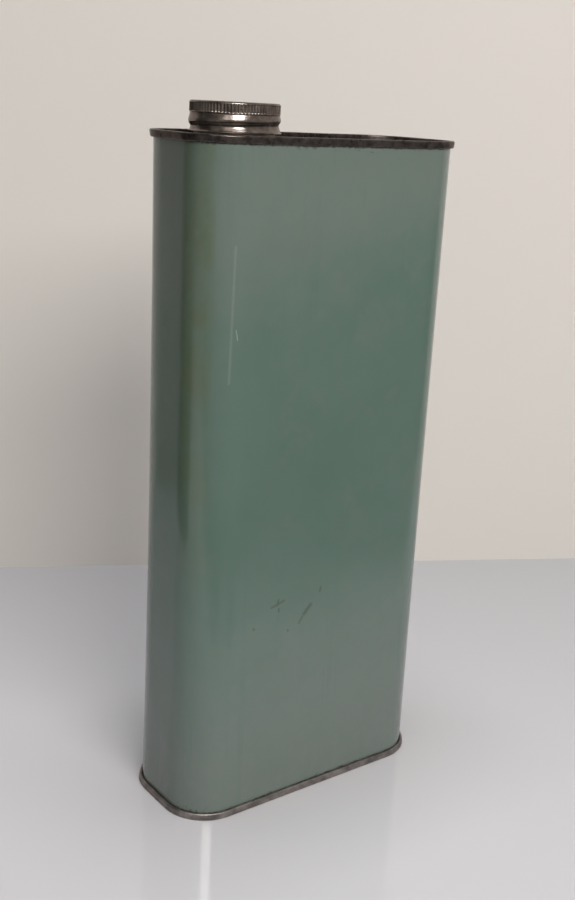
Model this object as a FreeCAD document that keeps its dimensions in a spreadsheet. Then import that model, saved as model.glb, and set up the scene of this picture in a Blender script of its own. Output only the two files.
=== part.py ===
"""Oblong tinplate can with a corner screw neck and a knurled screw cap, as a parametric FreeCAD document.

The can is a bent body sheet with a locked side seam, closed by two pressed ends that are double-seamed
onto it. A threaded neck is soldered to the top end near one narrow side, and takes a screw cap with a
cork wad and a tinned facing disc.

Frame: millimetres, +Z up, origin at the centre of the base plane. X runs along the broad sides and the
neck is at the -X end; Y is the can's depth. Heights of the neck and the cap are given above the rim,
which is the top of the upper double seam.
"""

import FreeCAD, Part
import math
import os

import Sketcher
from FreeCAD import Placement, Rotation, Vector

DIMENSIONS = [
    # the can
    ("can_height", 305.0),
    ("body_width", 137.6),
    ("body_depth", 58.2),
    ("corner_radius", 20.0),
    ("tinplate", 0.32),
    ("slack", 0.03),
    # the double seams that hold the two ends on
    ("rim_outset", 1.7),
    ("rim_height", 3.2),
    ("rim_edge_radius", 0.62),
    ("hook_gap", 0.35),
    ("cover_hook_top", 1.28),
    ("body_hook_length", 1.5),
    ("countersink", 4.6),
    ("panel_radius", 1.0),
    ("bead_inset", 0.9),
    ("bead_width", 3.0),
    ("bead_rise", 0.7),
    ("bead_radius", 1.957),
    # the locked and soldered side seam, inside the +X wall
    ("lock_half_width", 2.4),
    ("lock_reach", 4.6),
    ("lock_slit", 0.05),
    ("lock_end_gap", 5.6),
    ("solder_leg", 0.9),
    # the neck, on the top end
    ("neck_centre", 38.8),
    ("neck_flange_radius", 22.0),
    ("neck_radius", 16.9),
    ("neck_sheet", 0.35),
    ("neck_top", 9.58),
    ("neck_lip_radius", 0.85),
    ("neck_lip_drop", 1.9),
    ("neck_bead_radius", 0.9),
    ("neck_bead_level", 2.2),
    # the thread, which both the neck and the cap carry
    ("thread_lead", 3.175),
    ("neck_thread_start", 0.7),
    ("neck_thread_rise", 4.76),
    ("neck_thread_depth", 1.1),
    ("cap_thread_start", 1.9),
    ("cap_thread_rise", 3.02),
    ("cap_thread_crest", 17.45),
    ("cap_thread_angle", 155.0),
    ("cap_groove_ease", 0.2),
    ("thread_root_width", 2.1),
    ("thread_crest_width", 0.7),
    # the cap
    ("cap_top", 12.2),
    ("cap_bottom", 0.2),
    ("cap_sheet", 0.38),
    ("cap_radius", 18.8),
    ("cap_land_radius", 18.95),
    ("cap_groove_radius", 18.3),
    ("cap_corner_radius", 0.9),
    ("knurl_top", 11.3),
    ("knurl_bottom", 7.9),
    ("knurl_depth", 0.3),
    ("knurl_mouth", 0.58),
    ("knurl_count", 82),
    ("cap_groove_level", 7.2),
    ("cap_land_level", 6.3),
    ("cap_hem_level", 1.3),
    ("wad_thickness", 2.0),
    ("wad_radius", 17.3),
    ("facing_thickness", 0.2),
    ("wad_ease", 0.02),
]

doc = FreeCAD.newDocument("screw_top_can")
sheet = doc.addObject("Spreadsheet::Sheet", "Dims")
for row, (alias, number) in enumerate(DIMENSIONS, start=1):
    sheet.set(f"A{row}", alias)
    sheet.set(f"B{row}", str(number))
    sheet.setAlias(f"B{row}", alias)
doc.recompute()

ALIASES = sorted((alias for alias, number in DIMENSIONS), key=len, reverse=True)


def bound(words):
    """The expression for words, with each alias written as a reference to the sheet."""
    parts = []
    for word in words.replace("(", "( ").replace(")", " )").split():
        parts.append(f"Dims.{word}" if word in ALIASES else word)
    return " ".join(parts)


SCRATCH_CELL = "D1"


def number_of(words):
    """The number that words come to with the sheet's present values, worked out in a spare cell."""
    sheet.set(SCRATCH_CELL, "=" + bound(words).replace("Dims.", ""))
    sheet.recompute()
    number = float(sheet.get(SCRATCH_CELL))
    sheet.clear(SCRATCH_CELL)
    return number


def bind(item, prop, words):
    item.setExpression(prop, bound(words))


def new_body(label):
    item = doc.addObject("PartDesign::Body", label)
    item.Label = label
    return item


def origin_plane(body, role):
    return [feature for feature in body.Origin.OriginFeatures if feature.Role == role][0]


def new_sketch(body, name, role, height="0"):
    """A sketch on one of the body's origin planes, raised along the plane's normal."""
    sketch = body.newObject("Sketcher::SketchObject", name)
    sketch.AttachmentSupport = [(origin_plane(body, role), "")]
    sketch.MapMode = "FlatFace"
    bind(sketch, "AttachmentOffset.Base.z", height)
    return sketch


def fix_point(sketch, geometry, position, across, up):
    """Places one point of the sketch by expressions; None leaves that coordinate free."""
    for kind, words in (("DistanceX", across), ("DistanceY", up)):
        if words is not None:
            value = number_of(words)
            index = sketch.addConstraint(Sketcher.Constraint(kind, -1, 1, geometry, position, value))
            sketch.setExpression(f"Constraints[{index}]", bound(words))


START, END, CENTRE = 1, 2, 3


def draw(sketch, start, *steps):
    """Draws a closed outline from start, where each step is a line to (x, y) or an arc.

    An arc is (x, y, centre_x, centre_y, turns_left). Every corner is fixed by expressions. The end of an
    arc keeps only the coordinate that its tangent runs along, because the circle gives the other.
    """
    first = sketch.GeometryCount
    here = start
    free = [None] * len(steps)
    for index, step in enumerate(steps):
        there = step[:2]
        a = Vector(number_of(here[0]), number_of(here[1]), 0)
        b = Vector(number_of(there[0]), number_of(there[1]), 0)
        if len(step) == 2:
            sketch.addGeometry(Part.LineSegment(a, b))
        else:
            centre = Vector(number_of(step[2]), number_of(step[3]), 0)
            circle = Part.Circle(centre, Vector(0, 0, 1), (a - centre).Length)
            begin, finish = (a, b) if step[4] else (b, a)
            angles = [math.atan2(p.y - centre.y, p.x - centre.x) for p in (begin, finish)]
            sketch.addGeometry(Part.ArcOfCircle(circle, angles[0], angles[1]))
            free[index] = "x" if abs(b.x - centre.x) > abs(b.y - centre.y) else "y"
        here = there
    for index, step in enumerate(steps):
        geometry = first + index
        following = first + (index + 1) % len(steps)
        turned = len(step) == 5 and not step[4]
        next_step = steps[(index + 1) % len(steps)]
        next_turned = len(next_step) == 5 and not next_step[4]
        tail = START if turned else END
        head = END if next_turned else START
        sketch.addConstraint(Sketcher.Constraint("Coincident", geometry, tail, following, head))
        across = None if free[index] == "x" else step[0]
        up = None if free[index] == "y" else step[1]
        fix_point(sketch, geometry, tail, across, up)
        if len(step) == 5:
            fix_point(sketch, geometry, CENTRE, step[2], step[3])


def round_rectangle(sketch, half_width, half_depth, radius):
    """A rounded rectangle about the origin, which starts and ends in the middle of its +X side."""
    x, y, r = f"({half_width})", f"({half_depth})", f"({radius})"
    draw(
        sketch,
        (x, "0"),
        (x, f"{y} - {r}"),
        (f"{x} - {r}", y, f"{x} - {r}", f"{y} - {r}", True),
        (f"{r} - {x}", y),
        (f"0 - {x}", f"{y} - {r}", f"{r} - {x}", f"{y} - {r}", True),
        (f"0 - {x}", f"{r} - {y}"),
        (f"{r} - {x}", f"0 - {y}", f"{r} - {x}", f"{r} - {y}", True),
        (f"{x} - {r}", f"0 - {y}"),
        (x, f"{r} - {y}", f"{x} - {r}", f"{r} - {y}", True),
        (x, "0"),
    )


def around_the_can(body, name, *outline):
    """Carries an outline in the XZ plane round the can's own rounded rectangle."""
    profile = new_sketch(body, name + "_profile", "XZ_Plane")
    draw(profile, *outline)
    path = new_sketch(body, name + "_path", "XY_Plane")
    round_rectangle(path, "body_width / 2", "body_depth / 2", "corner_radius")
    pipe = body.newObject("PartDesign::AdditivePipe", name)
    pipe.Profile = profile
    pipe.Spine = path
    return pipe


def pad(body, name, sketch, length):
    feature = body.newObject("PartDesign::Pad", name)
    feature.Profile = sketch
    bind(feature, "Length", length)
    return feature


def revolve(body, name, sketch):
    feature = body.newObject("PartDesign::Revolution", name)
    feature.Profile = sketch
    feature.ReferenceAxis = (sketch, ["V_Axis"])
    feature.Angle = 360
    return feature


def helix(body, kind, name, sketch, rise):
    feature = body.newObject(kind, name)
    feature.Profile = sketch
    feature.ReferenceAxis = (sketch, ["V_Axis"])
    feature.Mode = "pitch-height-angle"
    bind(feature, "Pitch", "thread_lead")
    bind(feature, "Height", rise)
    return feature


def out(words):
    """A place across the seam at the +X side, measured outwards from the body's outer face."""
    return f"body_width / 2 + ({words})"


def top_level(depth):
    """A level below the can's rim."""
    return f"can_height - ({depth})"


def bottom_level(depth):
    """A level above the can's base, mirrored from top_level."""
    return f"0 + ({depth})"


def arc(x, y, centre_x, centre_y, turns_left, mirrored=False):
    return (x, y, centre_x, centre_y, turns_left != mirrored)


# ---------------------------------------------------------------- body sheet

HOOK_OUTER = "2 * hook_gap + tinplate"
HOOK_TOP = "tinplate + 2 * slack"
HOOK_BEND = f"{HOOK_TOP} + hook_gap + tinplate"
HOOK_END = f"{HOOK_BEND} + body_hook_length"


def build_body_shell():
    """The bent sheet: wall and both body hooks in one sweep, then the locked side seam."""
    body = new_body("body_shell")
    bend = out("hook_gap")
    around_the_can(
        body,
        "sheet",
        (out("0"), bottom_level(HOOK_BEND)),
        (out("0"), top_level(HOOK_BEND)),
        arc(out("2 * hook_gap"), top_level(HOOK_BEND), bend, top_level(HOOK_BEND), False),
        (out("2 * hook_gap"), top_level(HOOK_END)),
        (out(HOOK_OUTER), top_level(HOOK_END)),
        (out(HOOK_OUTER), top_level(HOOK_BEND)),
        arc(out("0 - tinplate"), top_level(HOOK_BEND), bend, top_level(HOOK_BEND), True),
        (out("0 - tinplate"), bottom_level(HOOK_BEND)),
        arc(out(HOOK_OUTER), bottom_level(HOOK_BEND), bend, bottom_level(HOOK_BEND), True),
        (out(HOOK_OUTER), bottom_level(HOOK_END)),
        (out("2 * hook_gap"), bottom_level(HOOK_END)),
        (out("2 * hook_gap"), bottom_level(HOOK_BEND)),
        arc(out("0"), bottom_level(HOOK_BEND), bend, bottom_level(HOOK_BEND), False),
    )
    lock_length = "can_height - 2 * lock_end_gap"
    window = new_sketch(body, "lock_window", "XY_Plane", "lock_end_gap")
    low, high = out("0 - 2 * tinplate"), out("tinplate")
    draw(
        window,
        (low, "0 - lock_reach"),
        (high, "0 - lock_reach"),
        (high, "lock_reach"),
        (low, "lock_reach"),
        (low, "0 - lock_reach"),
    )
    cut = body.newObject("PartDesign::Pocket", "lock_cut")
    cut.Profile = window
    cut.Reversed = True
    bind(cut, "Length", lock_length)
    hooks = new_sketch(body, "lock_hooks", "XY_Plane", "lock_end_gap")
    draw_lock(hooks)
    pad(body, "lock", hooks, lock_length)
    return body


def inward(words):
    """A depth into the can from the +X wall's outer face."""
    return f"body_width / 2 - ({words})"


LAYER = "(tinplate + lock_slit)"
FOLD_OUTER = f"({LAYER} + tinplate / 2)"
RISER = f"(lock_half_width + {FOLD_OUTER} + lock_slit)"


def draw_lock(sketch):
    """Two interlocked hooks in plan. The one from -Y steps in and folds back; the other folds under it."""
    layers = [f"({count} * {LAYER})" for count in range(4)]
    mid_a = inward(f"2 * {LAYER} + tinplate / 2")
    mid_b = inward(f"{LAYER} + tinplate / 2")
    draw(
        sketch,
        (inward("0"), "0 - lock_reach"),
        (inward("0"), f"0 - {RISER}"),
        (inward(layers[3]), f"0 - {RISER}"),
        (inward(layers[3]), "lock_half_width"),
        arc(inward(f"{layers[1]} + tinplate"), "lock_half_width", mid_a, "lock_half_width", False),
        (inward(f"{layers[1]} + tinplate"), "lock_slit - lock_half_width"),
        (inward(layers[1]), "lock_slit - lock_half_width"),
        (inward(layers[1]), "lock_half_width"),
        arc(inward(f"{layers[3]} + tinplate"), "lock_half_width", mid_a, "lock_half_width", True),
        (inward(f"{layers[3]} + tinplate"), f"0 - {RISER} - tinplate"),
        (inward("tinplate"), f"0 - {RISER} - tinplate"),
        (inward("tinplate"), "0 - lock_reach"),
        (inward("0"), "0 - lock_reach"),
    )
    draw(
        sketch,
        (inward("0"), "lock_reach"),
        (inward("tinplate"), "lock_reach"),
        (inward("tinplate"), "0 - lock_half_width"),
        arc(inward(layers[2]), "0 - lock_half_width", mid_b, "0 - lock_half_width", False),
        (inward(layers[2]), "lock_half_width - lock_slit"),
        (inward(f"{layers[2]} + tinplate"), "lock_half_width - lock_slit"),
        (inward(f"{layers[2]} + tinplate"), "0 - lock_half_width"),
        arc(inward("0"), "0 - lock_half_width", mid_b, "0 - lock_half_width", True),
        (inward("0"), "lock_reach"),
    )


def build_side_seam_solder():
    """A fillet of solder inside, in the corner where the seam's inner hook steps away from the wall."""
    body = new_body("side_seam_solder")
    sketch = new_sketch(body, "fillet_outline", "XY_Plane", "lock_end_gap")
    wall = inward("tinplate + slack")
    riser = f"0 - {RISER} - tinplate - slack"
    draw(
        sketch,
        (wall, riser),
        (wall, f"{riser} - solder_leg"),
        (inward("tinplate + slack + solder_leg"), riser),
        (wall, riser),
    )
    pad(body, "fillet", sketch, "can_height - 2 * lock_end_gap")
    return body


# ---------------------------------------------------------------- ends and their sealing rings

CHUCK_OUTER = "0 - tinplate - slack"
CHUCK_INNER = "0 - 2 * tinplate - slack"
PANEL_EDGE = "0 - 2 * tinplate - slack - panel_radius"
CURL_RADIUS = "(rim_outset - slack) / 2"


def draw_end_sheet(body, level, mirrored):
    """The end's edge in section, from the bead on its panel up the wall, over, down and into the hook."""
    edge, chuck = out(PANEL_EDGE), out(CHUCK_INNER)
    top, under = level("countersink"), level("countersink + tinplate")
    corner = level("countersink - panel_radius")
    bead_out = out(f"{PANEL_EDGE} - bead_inset")
    bead_mid = out(f"{PANEL_EDGE} - bead_inset - bead_width / 2")
    bead_in = out(f"{PANEL_EDGE} - bead_inset - bead_width")
    panel_in = out(f"{PANEL_EDGE} - 2 * bead_inset - bead_width")
    bead_centre = level("countersink + bead_radius - bead_rise")
    bead_centre_under = level("countersink + bead_radius - bead_rise + tinplate")
    rounded = "rim_edge_radius"
    inner_bend = "(rim_edge_radius - tinplate)"
    left_bend, right_bend = out(f"{CHUCK_INNER} + {rounded}"), out(f"rim_outset - {rounded}")
    curl = out(f"slack + {CURL_RADIUS}")
    curl_level = level(f"rim_height - {CURL_RADIUS}")

    def bent(x, y, centre_x, centre_y, turns_left):
        return arc(x, y, centre_x, centre_y, turns_left, mirrored)

    around_the_can(
        body,
        "edge",
        (panel_in, top),
        (bead_in, top),
        bent(bead_out, top, bead_mid, bead_centre, False),
        (edge, top),
        bent(chuck, corner, edge, corner, True),
        (chuck, level(rounded)),
        bent(left_bend, level("0"), left_bend, level(rounded), False),
        (right_bend, level("0")),
        bent(out("rim_outset"), level(rounded), right_bend, level(rounded), False),
        (out("rim_outset"), curl_level),
        bent(out("slack"), curl_level, curl, curl_level, False),
        (out("slack"), level("cover_hook_top")),
        (out("slack + tinplate"), level("cover_hook_top")),
        (out("slack + tinplate"), curl_level),
        bent(out("rim_outset - tinplate"), curl_level, curl, curl_level, True),
        (out("rim_outset - tinplate"), level(rounded)),
        bent(right_bend, level("tinplate"), right_bend, level(rounded), True),
        (left_bend, level("tinplate")),
        bent(out(CHUCK_OUTER), level(rounded), left_bend, level(rounded), True),
        (out(CHUCK_OUTER), corner),
        bent(edge, under, edge, corner, False),
        (bead_out, under),
        bent(bead_in, under, bead_mid, bead_centre_under, True),
        (panel_in, under),
        (panel_in, top),
    )
    inner = f"{PANEL_EDGE} - 2 * bead_inset - bead_width"
    panel = new_sketch(body, "panel_outline", "XY_Plane", top if mirrored else under)
    round_rectangle(panel, out(inner), f"body_depth / 2 + {inner}", f"corner_radius + {inner}")
    pad(body, "panel", panel, "tinplate")


def build_end(label, level, mirrored):
    body = new_body(label)
    draw_end_sheet(body, level, mirrored)
    return body


def build_top_end():
    """The upper end, with the hole that the neck stands over."""
    body = build_end("top_end", top_level, False)
    hole = new_sketch(body, "neck_hole", "XY_Plane", top_level("countersink + 2 * tinplate"))
    radius = "neck_radius - neck_sheet"
    centre = Vector(number_of("0 - neck_centre"), 0, 0)
    circle = hole.addGeometry(Part.Circle(centre, Vector(0, 0, 1), number_of(radius)))
    fix_point(hole, circle, CENTRE, "0 - neck_centre", "0")
    index = hole.addConstraint(Sketcher.Constraint("Radius", circle, number_of(radius)))
    hole.setExpression(f"Constraints[{index}]", bound(radius))
    cut = body.newObject("PartDesign::Pocket", "neck_hole_cut")
    cut.Profile = hole
    cut.Reversed = True
    bind(cut, "Length", "3 * tinplate")
    return body


def build_compound(label, level):
    """The rubbery sealing ring that fills the seam between the body hook and the end's outer wall."""
    body = new_body(label)
    inner, outer = out(f"{HOOK_OUTER} + slack"), out("rim_outset - tinplate - slack")
    near, far = level(HOOK_BEND), level(f"{HOOK_END} - slack")
    around_the_can(body, "ring", (inner, near), (outer, near), (outer, far), (inner, far), (inner, near))
    return body


# ---------------------------------------------------------------- neck

PANEL_TOP = "(0 - countersink)"


def place_on_neck_axis(body, angle):
    """Stands a body that is modelled about Z, with its zero level at the rim, on the neck's axis."""
    body.Placement = Placement(Vector(0, 0, 0), Rotation(Vector(0, 0, 1), angle))
    bind(body, "Placement.Base.x", "0 - neck_centre")
    bind(body, "Placement.Base.z", "can_height")


def thread_profile(sketch, root, crest, level, root_width, crest_width):
    """A trapezoid tooth from its root radius to its crest radius."""
    draw(
        sketch,
        (root, f"{level} - ({root_width}) / 2"),
        (crest, f"{level} - ({crest_width}) / 2"),
        (crest, f"{level} + ({crest_width}) / 2"),
        (root, f"{level} + ({root_width}) / 2"),
        (root, f"{level} - ({root_width}) / 2"),
    )


def build_screw_neck():
    """The drawn neck: flange, swaged bead, rolled thread and a lip that is turned in and down."""
    body = new_body("screw_neck")
    wall, bore = "neck_radius", "neck_radius - neck_sheet"
    flange_top = f"{PANEL_TOP} + neck_sheet"
    bead = f"{PANEL_TOP} + neck_bead_level"
    hollow = "sqrt( (neck_bead_radius - neck_sheet) ^ 2 - neck_sheet ^ 2 )"
    bend, bend_centre = "neck_top - neck_lip_radius", "neck_radius - neck_lip_radius"
    lip_out, lip_in = "neck_radius - 2 * neck_lip_radius", "neck_radius - 2 * neck_lip_radius + neck_sheet"
    lip_end = "neck_top - neck_lip_drop"
    sketch = new_sketch(body, "section", "XZ_Plane")
    draw(
        sketch,
        ("neck_flange_radius", PANEL_TOP),
        ("neck_flange_radius", flange_top),
        (wall, flange_top),
        (wall, f"{bead} - neck_bead_radius"),
        arc(wall, f"{bead} + neck_bead_radius", wall, bead, True),
        (wall, bend),
        arc(lip_out, bend, bend_centre, bend, True),
        (lip_out, lip_end),
        (lip_in, lip_end),
        (lip_in, bend),
        arc(bore, bend, bend_centre, bend, False),
        (bore, f"{bead} + {hollow}"),
        arc(bore, f"{bead} - {hollow}", wall, bead, False),
        (bore, PANEL_TOP),
        ("neck_flange_radius", PANEL_TOP),
    )
    revolve(body, "drawn_shape", sketch)
    ridge = new_sketch(body, "ridge_profile", "XZ_Plane")
    thread_profile(
        ridge,
        "neck_radius - neck_sheet / 2",
        "neck_radius + neck_thread_depth",
        "neck_thread_start",
        "thread_root_width",
        "thread_crest_width",
    )
    helix(body, "PartDesign::AdditiveHelix", "thread_ridge", ridge, "neck_thread_rise")
    return body


def build_neck_solder():
    """The ring of solder round the neck's flange, on the top end's panel."""
    body = new_body("neck_solder")
    sketch = new_sketch(body, "section", "XZ_Plane")
    foot = f"{PANEL_TOP} + slack"
    inner = "neck_flange_radius + slack"
    draw(
        sketch,
        (inner, foot),
        (f"{inner} + solder_leg", foot),
        (inner, f"{foot} + solder_leg / 2"),
        (inner, foot),
    )
    revolve(body, "ring", sketch)
    return body


# ---------------------------------------------------------------- cap

CAP_INNER = "cap_radius - cap_sheet"
LAND_INNER = "cap_land_radius - cap_sheet"


def build_cap_shell():
    """The pressed cap: flat top, knurled band, circular groove, threaded land and curled hem."""
    body = new_body("cap_shell")
    inside_top = "cap_top - cap_sheet"
    round_in = "(cap_corner_radius - cap_sheet)"
    corner_x, corner_y = "cap_radius - cap_corner_radius", "cap_top - cap_corner_radius"
    sketch = new_sketch(body, "section", "XZ_Plane")
    draw(
        sketch,
        ("0", "cap_top"),
        ("0", inside_top),
        (corner_x, inside_top),
        arc(CAP_INNER, corner_y, corner_x, corner_y, False),
        (CAP_INNER, "knurl_bottom"),
        ("cap_groove_radius - cap_sheet", "cap_groove_level"),
        (LAND_INNER, "cap_land_level"),
        (LAND_INNER, "cap_bottom"),
        ("cap_land_radius + cap_sheet / 2", "cap_bottom"),
        ("cap_land_radius + cap_sheet / 2", "cap_hem_level - cap_sheet"),
        ("cap_land_radius", "cap_hem_level"),
        ("cap_land_radius", "cap_land_level"),
        ("cap_groove_radius", "cap_groove_level"),
        ("cap_radius", "knurl_bottom"),
        ("cap_radius", corner_y),
        arc(corner_x, "cap_top", corner_x, corner_y, True),
        ("0", "cap_top"),
    )
    revolve(body, "pressed_shape", sketch)
    ridge = new_sketch(body, "ridge_profile", "XZ_Plane")
    thread_profile(
        ridge,
        "cap_land_radius - cap_sheet / 2",
        "cap_thread_crest",
        "cap_thread_start",
        "thread_root_width",
        "thread_crest_width",
    )
    helix(body, "PartDesign::AdditiveHelix", "thread_ridge", ridge, "cap_thread_rise")
    groove = new_sketch(body, "groove_profile", "XZ_Plane")
    thread_profile(
        groove,
        "cap_land_radius + cap_sheet",
        "cap_thread_crest + cap_sheet + cap_groove_ease",
        "cap_thread_start",
        "thread_root_width - cap_sheet",
        "thread_crest_width - cap_sheet / 2",
    )
    helix(body, "PartDesign::SubtractiveHelix", "thread_groove", groove, "cap_thread_rise")
    doc.recompute()
    knurl_the_cap(body)
    return body


def knurl_the_cap(body):
    """Cuts one V groove down the band and repeats it all the way round."""
    sketch = new_sketch(body, "knurl_outline", "XY_Plane", "knurl_bottom")
    draw(
        sketch,
        ("cap_radius - knurl_depth", "0"),
        ("cap_radius + knurl_depth", "0 - knurl_mouth"),
        ("cap_radius + knurl_depth", "knurl_mouth"),
        ("cap_radius - knurl_depth", "0"),
    )
    cut = body.newObject("PartDesign::Pocket", "knurl_cut")
    cut.Profile = sketch
    cut.Reversed = True
    bind(cut, "Length", "knurl_top - knurl_bottom")
    doc.recompute()
    pattern = body.newObject("PartDesign::PolarPattern", "knurling")
    pattern.Originals = [cut]
    pattern.Axis = (sketch, ["N_Axis"])
    pattern.Angle = 360
    bind(pattern, "Occurrences", "knurl_count")
    body.Tip = pattern


def build_disc(label, radius, thickness, underside):
    """A plain disc on the neck's axis, such as the wad or its facing."""
    disc = doc.addObject("Part::Cylinder", label)
    disc.Label = label
    bind(disc, "Radius", radius)
    bind(disc, "Height", thickness)
    bind(disc, "Placement.Base.x", "0 - neck_centre")
    bind(disc, "Placement.Base.z", f"can_height + {underside}")
    return disc


# ---------------------------------------------------------------- assembly

neck_angle = number_of(
    "cap_thread_angle + 360 * (neck_thread_start - thread_lead / 2 - cap_thread_start) / thread_lead"
)
screw_neck = build_screw_neck()
place_on_neck_axis(screw_neck, neck_angle)
neck_solder = build_neck_solder()
place_on_neck_axis(neck_solder, 0)
cap_shell = build_cap_shell()
place_on_neck_axis(cap_shell, number_of("cap_thread_angle"))
wad_under = "cap_top - cap_sheet - wad_ease - wad_thickness"
facing_under = f"{wad_under} - facing_thickness"
parts = [
    build_body_shell(),
    build_side_seam_solder(),
    build_top_end(),
    build_end("bottom_end", bottom_level, True),
    build_compound("top_seam_compound", top_level),
    build_compound("bottom_seam_compound", bottom_level),
    screw_neck,
    neck_solder,
    cap_shell,
    build_disc("cap_wad", "wad_radius", "wad_thickness", wad_under),
    build_disc("wad_facing", "wad_radius", "facing_thickness", facing_under),
]
doc.recompute()

failed = [item.Name for item in doc.Objects if {"Invalid", "Error"} & set(item.State)]
if failed:
    raise SystemExit(f"these objects failed: {failed}")
os.makedirs("parts", exist_ok=True)
for part in parts:
    shape = part.Shape
    if shape.isNull() or not shape.isValid() or not shape.Solids:
        raise SystemExit(f"{part.Label} has no valid solid")
    shape.exportStep(f"parts/{part.Label}.step")
    print(f"{part.Label}: {len(shape.Solids)} solid(s), {shape.Volume:.1f} mm3, {shape.BoundBox}")
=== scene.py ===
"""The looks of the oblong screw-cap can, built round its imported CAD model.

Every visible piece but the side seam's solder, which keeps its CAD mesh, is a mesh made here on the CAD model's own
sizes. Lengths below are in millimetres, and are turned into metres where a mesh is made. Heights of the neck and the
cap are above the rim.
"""

import math

import bpy
from mathutils import Matrix, Vector, noise


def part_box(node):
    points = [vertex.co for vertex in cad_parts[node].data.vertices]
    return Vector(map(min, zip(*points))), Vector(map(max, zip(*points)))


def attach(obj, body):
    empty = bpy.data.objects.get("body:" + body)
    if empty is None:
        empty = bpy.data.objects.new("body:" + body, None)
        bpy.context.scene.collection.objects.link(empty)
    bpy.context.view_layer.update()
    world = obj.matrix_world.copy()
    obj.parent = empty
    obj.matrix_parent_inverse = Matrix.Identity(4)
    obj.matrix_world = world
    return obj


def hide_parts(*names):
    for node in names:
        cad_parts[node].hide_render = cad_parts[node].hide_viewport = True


MM = 0.001

# ---------------------------------------------------------------- sizes, which follow the CAD model

SHEET = 0.32
CORNER = 20.0
RIM_OUTSET = 1.7
RIM_HEIGHT = 3.2
COUNTERSINK = 4.6
SEAM_TAPER = 0.25
NECK_X = -38.8
NECK_RADIUS = 16.9
NECK_SHEET = 0.35
NECK_TOP = 9.58
NECK_FLANGE = 22.0
CAP_RADIUS = 18.8
CAP_LAND = 19.1
CAP_SHEET = 0.38
CAP_TOP = 12.2
KNURLS = 82
HOOK_GAP = 0.35
HOOK_LENGTH = 1.5
SLACK = 0.03
THREAD_LEAD = 3.175
THREAD_LEVEL = 2.05
THREAD_ANGLE = 155.0
WAD_RADIUS = 17.3
WEAR_AND_HOLLOW_SHADE = "wear_and_hollow_shade"

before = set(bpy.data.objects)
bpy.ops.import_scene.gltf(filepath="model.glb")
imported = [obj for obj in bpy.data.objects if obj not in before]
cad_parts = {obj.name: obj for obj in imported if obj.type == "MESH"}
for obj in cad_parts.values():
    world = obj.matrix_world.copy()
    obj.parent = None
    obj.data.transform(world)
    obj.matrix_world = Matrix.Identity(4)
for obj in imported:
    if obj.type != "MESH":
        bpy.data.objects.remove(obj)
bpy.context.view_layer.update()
end_low, end_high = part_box("top_end")
HEIGHT = end_high.z / MM
HALF_WIDTH = end_high.x / MM - RIM_OUTSET
HALF_DEPTH = end_high.y / MM - RIM_OUTSET


# ---------------------------------------------------------------- mesh helpers


def wobble(x, y, z, size, seed=0.0):
    """Smooth noise of about -1 to 1, with features of the given size."""
    return noise.noise(Vector((x / size + seed, y / size - seed, z / size + 2 * seed)))


def smooth_step(low, high, value):
    share = min(1.0, max(0.0, (value - low) / (high - low)))
    return share * share * (3 - 2 * share)


def arc(centre, radius, start, end, steps=8):
    """Points of an arc, with its angles in degrees."""
    angles = [math.radians(start + (end - start) * i / steps) for i in range(steps + 1)]
    return [(centre[0] + radius * math.cos(a), centre[1] + radius * math.sin(a)) for a in angles]


def line(start, end, steps):
    """Points from start to end, without the first."""
    shares = [(i + 1) / steps for i in range(steps)]
    return [(start[0] + (end[0] - start[0]) * s, start[1] + (end[1] - start[1]) * s) for s in shares]


def make_piece(name, points, faces, body, replaced, material):
    """A mesh piece in metres that rides on a CAD body and stands for a CAD node."""
    mesh = bpy.data.meshes.new(name)
    mesh.from_pydata([(x * MM, y * MM, z * MM) for x, y, z in points], [], faces)
    mesh.shade_smooth()
    mesh.set_sharp_from_angle(angle=math.radians(40))
    mesh.validate()
    piece = bpy.data.objects.new(name, mesh)
    bpy.context.scene.collection.objects.link(piece)
    mesh.materials.append(material)
    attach(piece, body)
    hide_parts(*replaced)
    return piece


def loop_faces(rows, columns, start=0):
    """Quads over a grid of rows that is closed in both directions."""
    faces = []
    for i in range(rows):
        a, b = start + i * columns, start + (i + 1) % rows * columns
        for j in range(columns):
            k = (j + 1) % columns
            faces.append((a + j, b + j, b + k, a + k))
    return faces


def offset_both_sides(path, thickness):
    """The closed outline of a sheet from its middle line: one side there, the other side back."""
    sides = [[], []]
    last = len(path) - 1
    for i, (x, y) in enumerate(path):
        x0, y0 = path[max(0, i - 1)]
        x1, y1 = path[min(last, i + 1)]
        length = math.hypot(x1 - x0, y1 - y0)
        nx, ny = (y1 - y0) / length, (x0 - x1) / length
        for side, sign in zip(sides, (1, -1)):
            side.append((x + sign * nx * thickness / 2, y + sign * ny * thickness / 2))
    return sides[0] + sides[1][::-1]


def lathe(section, count, shape=lambda r, z, angle: (r, z)):
    """Points and faces of a closed section turned about the neck's axis. Points with no radius are shared."""
    points, rows = [], []
    for i in range(count):
        angle = 2 * math.pi * i / count
        row = []
        for j, (radius, level) in enumerate(section):
            if radius < 1e-6 and i:
                row.append(rows[0][j])
                continue
            r, z = shape(radius, level, angle)
            row.append(len(points))
            points.append((NECK_X + r * math.cos(angle), r * math.sin(angle), HEIGHT + z))
        rows.append(row)
    faces = []
    for i in range(count):
        a, b = rows[i], rows[(i + 1) % count]
        for j in range(len(section)):
            k = (j + 1) % len(section)
            face = [a[j], b[j], b[k], a[k]]
            face = [v for n, v in enumerate(face) if v not in face[:n]]
            if len(face) > 2:
                faces.append(face)
    return points, faces


# ---------------------------------------------------------------- the can's outline


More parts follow.
